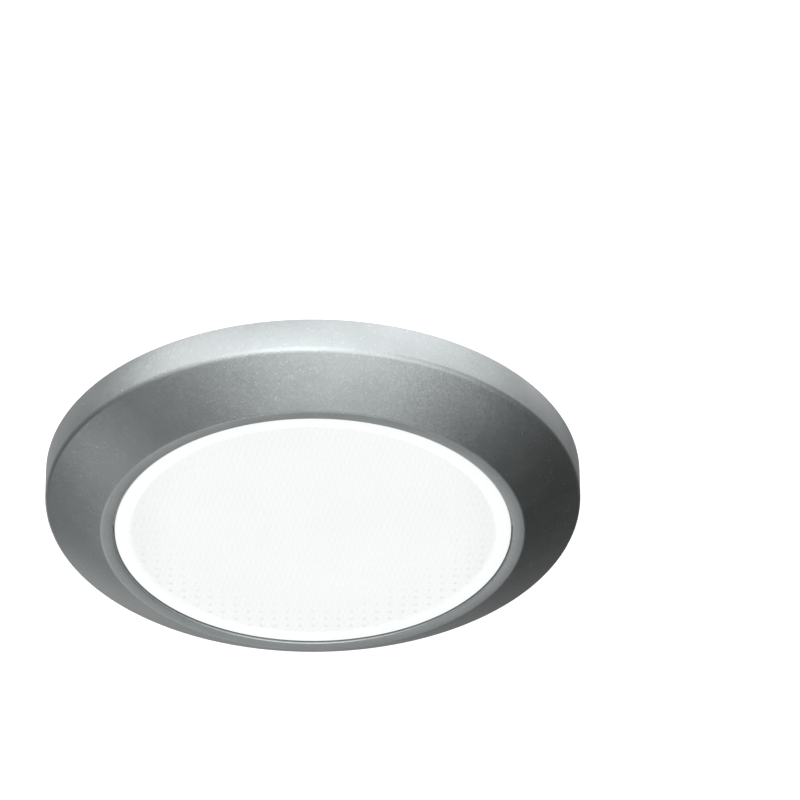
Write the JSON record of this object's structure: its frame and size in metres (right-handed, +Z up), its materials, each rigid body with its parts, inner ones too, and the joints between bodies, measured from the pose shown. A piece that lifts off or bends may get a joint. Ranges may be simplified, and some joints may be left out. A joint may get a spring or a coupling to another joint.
{
  "type": "underwater pool light",
  "caption": "Slim round surface-mounted pool light: silver trim ring, frosted lit lens, bayonet wall bracket and rear cable gland.",
  "frame": {"origin": "centre of the wall bracket's back face, on the wall plane", "axes": "+Y points into the wall along the light's axis, so the lens faces -Y; +Z is up the wall and +X is to the right as seen from the pool"},
  "size_m": [0.16, 0.0444, 0.16],
  "materials": {
    "silver_paint": "satin silver paint with fine metallic flake",
    "lens": "frosted polycarbonate with a smooth clear rim, lit from behind",
    "bracket_plastic": "moulded grey plastic, fine grain",
    "housing_plastic": "moulded off-white plastic, fine grain",
    "clamp_plastic": "glass-filled grey plastic",
    "silicone": "matt silicone rubber",
    "stainless": "turned stainless steel",
    "aluminium": "rolled sheet aluminium",
    "circuit_board": "white solder mask",
    "chip_black": "moulded epoxy",
    "reflector": "white reflective sheet",
    "led_white": "phosphor-filled white emitter, lit",
    "led_colour": "clear-topped colour emitter, unlit",
    "gland_plastic": "black nylon, fine grain",
    "washer_plastic": "natural white nylon"
  },
  "bodies": {
    "bracket": {"wall_bracket": "bracket_plastic", "bracket_screw_1": "stainless", "bracket_screw_2": "stainless", "bracket_screw_3": "stainless"},
    "lamp": {"back_housing": "housing_plastic", "lens_gasket": "silicone", "lens": "lens", "lens_clamp_ring": "clamp_plastic", "clamp_screw_1": "stainless", "clamp_screw_2": "stainless", "clamp_screw_3": "stainless", "clamp_screw_4": "stainless", "clamp_screw_5": "stainless", "clamp_screw_6": "stainless", "clamp_screw_7": "stainless", "clamp_screw_8": "stainless", "heat_plate": "aluminium", "led_board": "circuit_board", "board_screw_1": "stainless", "board_screw_2": "stainless", "board_screw_3": "stainless", "control_chip": "chip_black", "rectifier": "chip_black", "reflector_sheet": "reflector", "led_colour_1": "led_colour", "led_colour_2": "led_colour", "led_colour_3": "led_colour", "led_colour_4": "led_colour", "led_colour_5": "led_colour", "led_colour_6": "led_colour", "led_white_1": "led_white", "led_white_2": "led_white", "led_white_3": "led_white", "led_white_4": "led_white", "led_white_5": "led_white", "led_white_6": "led_white", "led_white_7": "led_white", "led_white_8": "led_white", "led_white_9": "led_white", "led_white_10": "led_white", "led_white_11": "led_white", "led_white_12": "led_white", "led_white_13": "led_white", "led_white_14": "led_white", "led_white_15": "led_white", "led_white_16": "led_white", "led_white_17": "led_white", "led_white_18": "led_white", "gland_body": "gland_plastic", "gland_o_ring": "silicone", "gland_seal": "silicone"},
    "trim": {"trim_ring": "silver_paint"},
    "gland_washer": {"gland_slip_washer": "washer_plastic"},
    "gland_nut": {"gland_nut": "gland_plastic"}
  },
  "joints": [
    {"name": "lamp_twist", "type": "hinge", "parent": "bracket", "child": "lamp", "pos_m": [0, 0, 0], "axis": [0, -1, 0], "range_deg": [0, 20]},
    {"name": "trim_pull", "type": "slide", "parent": "lamp", "child": "trim", "axis": [0, -1, 0], "range_m": [0, 0.04]},
    {"name": "gland_nut_travel", "type": "slide", "parent": "lamp", "child": "gland_washer", "axis": [0, 1, 0], "range_m": [0, 0.0045]},
    {"name": "gland_nut_turn", "type": "hinge", "parent": "gland_washer", "child": "gland_nut", "pos_m": [0, 0.01, 0], "axis": [0, 1, 0], "range_deg": [0, 1080]}
  ],
  "couplings": [
    {"joint": "gland_nut_travel", "follows": "gland_nut_turn", "m_per_rad": 0.0002387}
  ]
}
